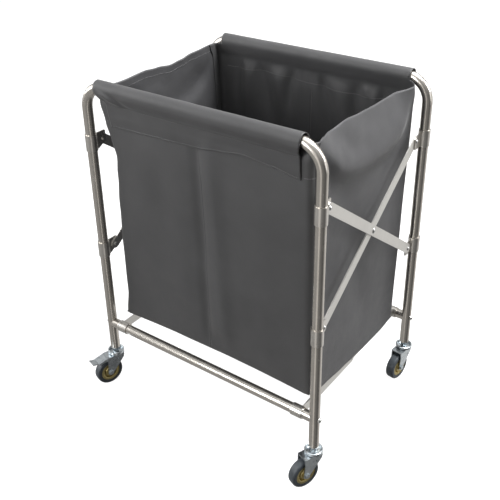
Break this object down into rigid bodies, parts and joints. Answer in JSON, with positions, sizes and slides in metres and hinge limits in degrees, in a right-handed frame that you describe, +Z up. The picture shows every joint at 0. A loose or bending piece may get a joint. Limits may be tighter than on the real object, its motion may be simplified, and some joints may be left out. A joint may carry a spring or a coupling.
{
  "type": "folding laundry cart",
  "caption": "Folding laundry cart: deep cloth bag hung between two tube frames that close on crossed side bars, riding on swivel casters.",
  "frame": {"origin": "on the floor, midway between the four legs", "axes": "+Z up, -Y towards the front frame, +X to the right of someone facing the front"},
  "size_m": [0.7097, 0.5829, 0.894],
  "materials": {
    "tube_steel": "drawn stainless tube, polished lengthwise",
    "flat_bar_steel": "matt rolled flat bar",
    "collar_steel": "pressed and brushed",
    "fastener_zinc": "bright domed heads",
    "bag_cloth": "coated woven polyester, dark grey, satin",
    "caster_zinc": "bluish zinc plated pressings",
    "rim_yellow": "yellow passivated",
    "tyre": "smooth grey rubber"
  },
  "bodies": {
    "front_frame": {"front_frame_tube": "tube_steel", "front_rail": "tube_steel", "front_rail_bolts": "fastener_zinc", "clamp_upper_front_left": "collar_steel", "clamp_upper_front_right": "collar_steel", "rivets_upper_front": "fastener_zinc", "bag_front": "bag_cloth", "bag_side_left": "bag_cloth", "bag_side_right": "bag_cloth", "caster_stem_front_left": "caster_zinc", "caster_stem_front_right": "caster_zinc"},
    "back_frame": {"back_frame_tube": "tube_steel", "back_rail": "tube_steel", "back_rail_bolts": "fastener_zinc", "clamp_upper_back_left": "collar_steel", "clamp_upper_back_right": "collar_steel", "rivets_upper_back": "fastener_zinc", "bag_back": "bag_cloth", "caster_stem_back_left": "caster_zinc", "caster_stem_back_right": "caster_zinc"},
    "brace_outer": {"brace_outer_left": "flat_bar_steel", "brace_outer_right": "flat_bar_steel", "rivets_centre": "fastener_zinc"},
    "brace_inner": {"brace_inner_left": "flat_bar_steel", "brace_inner_right": "flat_bar_steel"},
    "slider_front": {"clamp_lower_front_left": "collar_steel", "clamp_lower_front_right": "collar_steel", "rivets_lower_front": "fastener_zinc"},
    "slider_back": {"clamp_lower_back_left": "collar_steel", "clamp_lower_back_right": "collar_steel", "rivets_lower_back": "fastener_zinc"},
    "link_front": {"link_front_left": "flat_bar_steel", "link_front_right": "flat_bar_steel", "rail_collar_front_left": "collar_steel", "rail_collar_front_right": "collar_steel", "link_pins": "fastener_zinc", "bag_bottom_front": "bag_cloth"},
    "link_back": {"link_back_left": "flat_bar_steel", "link_back_right": "flat_bar_steel", "rail_collar_back_left": "collar_steel", "rail_collar_back_right": "collar_steel", "bag_bottom_back": "bag_cloth"},
    "caster_front_left": {"caster_fork_front_left": "caster_zinc", "caster_axle_front_left": "caster_zinc"},
    "wheel_front_left": {"wheel_rim_front_left": "rim_yellow", "wheel_tyre_front_left": "tyre"},
    "brake_front_left": {"brake_pedal_front_left": "caster_zinc"},
    "caster_front_right": {"caster_fork_front_right": "caster_zinc", "caster_axle_front_right": "caster_zinc"},
    "wheel_front_right": {"wheel_rim_front_right": "rim_yellow", "wheel_tyre_front_right": "tyre"},
    "caster_back_left": {"caster_fork_back_left": "caster_zinc", "caster_axle_back_left": "caster_zinc"},
    "wheel_back_left": {"wheel_rim_back_left": "rim_yellow", "wheel_tyre_back_left": "tyre"},
    "brake_back_left": {"brake_pedal_back_left": "caster_zinc"},
    "caster_back_right": {"caster_fork_back_right": "caster_zinc", "caster_axle_back_right": "caster_zinc"},
    "wheel_back_right": {"wheel_rim_back_right": "rim_yellow", "wheel_tyre_back_right": "tyre"}
  },
  "joints": [
    {"name": "fold", "type": "hinge", "parent": "front_frame", "child": "brace_outer", "pos_m": [0, -0.206, 0.727], "axis": [-1, 0, 0], "range_deg": [0, 42], "deforming": ["bag_side_left", "bag_side_right"]},
    {"name": "cross_pivot", "type": "hinge", "parent": "brace_outer", "child": "brace_inner", "pos_m": [0, 0, 0.577], "axis": [1, 0, 0], "range_deg": [0, 84]},
    {"name": "back_pivot", "type": "hinge", "parent": "brace_inner", "child": "back_frame", "pos_m": [0, 0.206, 0.727], "axis": [-1, 0, 0], "range_deg": [0, 42]},
    {"name": "front_slider_pivot", "type": "hinge", "parent": "brace_inner", "child": "slider_front", "pos_m": [0, -0.206, 0.427], "axis": [-1, 0, 0], "range_deg": [0, 42]},
    {"name": "back_slider_pivot", "type": "hinge", "parent": "brace_outer", "child": "slider_back", "pos_m": [0, 0.206, 0.427], "axis": [1, 0, 0], "range_deg": [0, 42]},
    {"name": "front_link_fold", "type": "hinge", "parent": "front_frame", "child": "link_front", "pos_m": [0, -0.241, 0.191], "axis": [1, 0, 0], "range_deg": [0, 68.66], "deforming": ["bag_bottom_front"]},
    {"name": "back_link_fold", "type": "hinge", "parent": "back_frame", "child": "link_back", "pos_m": [0, 0.241, 0.191], "axis": [-1, 0, 0], "range_deg": [0, 68.66], "deforming": ["bag_bottom_back"]},
    {"name": "swivel_front_left", "type": "hinge", "parent": "front_frame", "child": "caster_front_left", "pos_m": [-0.326, -0.241, 0.089], "axis": [0, 0, 1], "continuous": true},
    {"name": "wheel_spin_front_left", "type": "hinge", "parent": "caster_front_left", "child": "wheel_front_left", "pos_m": [-0.33433, -0.26826, 0.038], "axis": [0.9563, -0.2924, 0], "continuous": true},
    {"name": "brake_front_left", "type": "hinge", "parent": "caster_front_left", "child": "brake_front_left", "pos_m": [-0.32659, -0.24291, 0.072], "axis": [0.9563, -0.2924, 0], "range_deg": [0, 12]},
    {"name": "swivel_front_right", "type": "hinge", "parent": "front_frame", "child": "caster_front_right", "pos_m": [0.326, -0.241, 0.089], "axis": [0, 0, 1], "continuous": true},
    {"name": "wheel_spin_front_right", "type": "hinge", "parent": "caster_front_right", "child": "wheel_front_right", "pos_m": [0.31532, -0.26743, 0.038], "axis": [0.9272, -0.3746, 0], "continuous": true},
    {"name": "swivel_back_left", "type": "hinge", "parent": "back_frame", "child": "caster_back_left", "pos_m": [-0.326, 0.241, 0.089], "axis": [0, 0, 1], "continuous": true},
    {"name": "wheel_spin_back_left", "type": "hinge", "parent": "caster_back_left", "child": "wheel_back_left", "pos_m": [-0.32997, 0.21278, 0.038], "axis": [0.9903, -0.1392, 0], "continuous": true},
    {"name": "brake_back_left", "type": "hinge", "parent": "caster_back_left", "child": "brake_back_left", "pos_m": [-0.32628, 0.23902, 0.072], "axis": [0.9903, -0.1392, 0], "range_deg": [0, 12]},
    {"name": "swivel_back_right", "type": "hinge", "parent": "back_frame", "child": "caster_back_right", "pos_m": [0.326, 0.241, 0.089], "axis": [0, 0, 1], "continuous": true},
    {"name": "wheel_spin_back_right", "type": "hinge", "parent": "caster_back_right", "child": "wheel_back_right", "pos_m": [0.32203, 0.21278, 0.038], "axis": [0.9903, -0.1392, 0], "continuous": true}
  ],
  "couplings": [
    {"joint": "cross_pivot", "follows": "fold", "ratio": 2},
    {"joint": "back_pivot", "follows": "fold", "ratio": 1},
    {"joint": "front_slider_pivot", "follows": "fold", "ratio": 1},
    {"joint": "back_slider_pivot", "follows": "fold", "ratio": 1},
    {"joint": "front_link_fold", "follows": "fold", "ratio": 1.6347},
    {"joint": "back_link_fold", "follows": "fold", "ratio": 1.6347}
  ]
}
